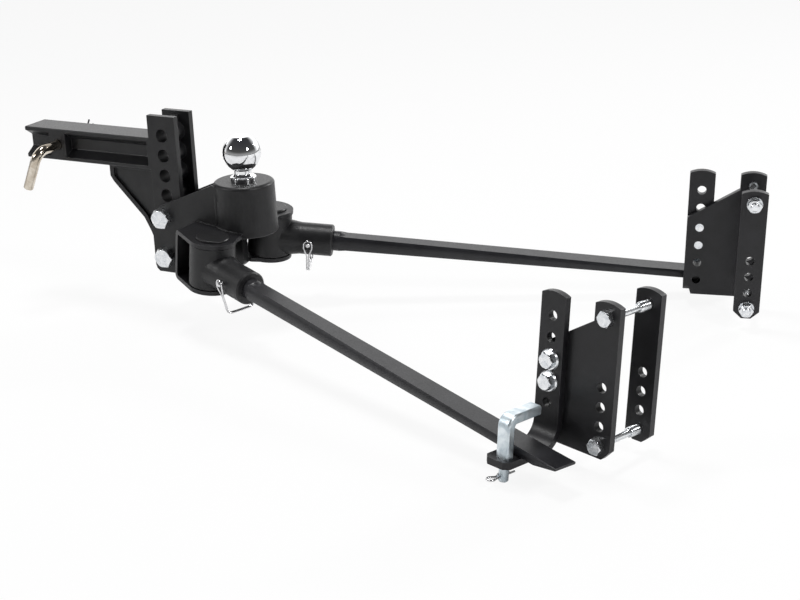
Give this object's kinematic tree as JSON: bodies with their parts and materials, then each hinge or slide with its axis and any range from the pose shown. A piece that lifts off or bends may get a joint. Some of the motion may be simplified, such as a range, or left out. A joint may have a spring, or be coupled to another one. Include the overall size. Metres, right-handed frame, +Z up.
{
  "type": "weight distribution hitch",
  "caption": "Trailer hitch with drop shank, ball mount, swinging spring bars and clamp-on frame brackets that carry the bar ends.",
  "frame": {"origin": "centre of the ball, on the hitch's centre plane", "axes": "+X back to the trailer, +Y to the vehicle's right, +Z up"},
  "size_m": [1.1481, 0.8056, 0.319],
  "materials": {
    "forged_black": "satin black powder coat on a forging",
    "cast_black": "satin black powder coat on a rough casting",
    "plate_black": "smooth black powder coat on cut plate",
    "pin_black": "black painted steel",
    "bar_black": "dark painted spring steel",
    "plain_steel": "plain machined steel",
    "ball_chrome": "mirror chrome plate",
    "nickel_plate": "bright plate with a warm tint",
    "bright_zinc": "bright zinc plate",
    "bright_wire": "bright drawn wire",
    "keeper_zinc": "blue-white zinc with cloudy patches"
  },
  "bodies": {
    "hitch": {"shank": "forged_black", "ball_mount_head": "cast_black", "hitch_ball": "ball_chrome", "ball_lock_washer": "plain_steel", "ball_nut": "plain_steel", "head_bolts": "bright_zinc", "head_washers": "bright_zinc", "head_nuts": "bright_zinc", "left_yoke": "plate_black", "right_yoke": "plate_black", "left_trunnion_pin": "pin_black", "right_trunnion_pin": "pin_black", "left_thrust_washers": "plain_steel", "right_thrust_washers": "plain_steel"},
    "receiver_pin": {"hitch_pin": "nickel_plate", "hitch_pin_clip": "bright_wire"},
    "left_arm": {"left_socket": "cast_black", "left_lock_pin": "bright_wire", "left_spring_bar": "bar_black"},
    "left_bail": {"left_lock_bail": "bright_wire"},
    "left_bracket": {"left_hanger": "plate_black", "left_clamp_plate": "plate_black", "left_backing_plate": "plate_black", "left_clamp_bolts": "bright_zinc", "left_clamp_nuts": "bright_zinc", "left_hanger_bolts": "bright_zinc"},
    "left_keeper_arm": {"left_keeper": "keeper_zinc", "left_keeper_clip": "bright_wire"},
    "right_arm": {"right_socket": "cast_black", "right_lock_pin": "bright_wire", "right_spring_bar": "bar_black"},
    "right_bail": {"right_lock_bail": "bright_wire"},
    "right_bracket": {"right_hanger": "plate_black", "right_clamp_plate": "plate_black", "right_backing_plate": "plate_black", "right_clamp_bolts": "bright_zinc", "right_clamp_nuts": "bright_zinc", "right_hanger_bolts": "bright_zinc"},
    "right_keeper_arm": {"right_keeper": "keeper_zinc", "right_keeper_clip": "bright_wire"}
  },
  "joints": [
    {"name": "receiver_pin_turn", "type": "hinge", "parent": "hitch", "child": "receiver_pin", "pos_m": [-0.3329, 0, -0.009], "axis": [0, 1, 0], "range_deg": [-114, 66]},
    {"name": "left_arm_swing", "type": "hinge", "parent": "hitch", "child": "left_arm", "pos_m": [-0.01321, -0.083, -0.1577], "axis": [0.1132, 0, 0.9936], "range_deg": [-40, 12]},
    {"name": "left_bail_swing", "type": "hinge", "parent": "left_arm", "child": "left_bail", "pos_m": [0.05828, -0.07986, -0.16585], "axis": [-0.9146, 0.3907, 0.1042], "range_deg": [0, 8]},
    {"name": "left_bracket_slide", "type": "slide", "parent": "left_arm", "child": "left_bracket", "axis": [0.9146, -0.3907, -0.1042], "range_m": [-0.06, 0.03]},
    {"name": "left_keeper_turn", "type": "hinge", "parent": "left_bracket", "child": "left_keeper_arm", "pos_m": [0.60205, -0.37674, -0.20577], "axis": [0.0588, 0.0472, 0.9972], "range_deg": [-110, 110]},
    {"name": "right_arm_swing", "type": "hinge", "parent": "hitch", "child": "right_arm", "pos_m": [-0.01321, 0.083, -0.1577], "axis": [0.1132, 0, 0.9936], "range_deg": [-12, 40]},
    {"name": "right_bail_swing", "type": "hinge", "parent": "right_arm", "child": "right_bail", "pos_m": [0.03421, 0.13693, -0.16311], "axis": [-0.9146, -0.3907, 0.1042], "range_deg": [0, 8]},
    {"name": "right_bracket_slide", "type": "slide", "parent": "right_arm", "child": "right_bracket", "axis": [0.9146, 0.3907, -0.1042], "range_m": [-0.06, 0.03]},
    {"name": "right_keeper_turn", "type": "hinge", "parent": "right_bracket", "child": "right_keeper_arm", "pos_m": [0.60205, 0.37674, -0.20577], "axis": [0.0588, -0.0472, 0.9972], "range_deg": [-110, 110]}
  ]
}
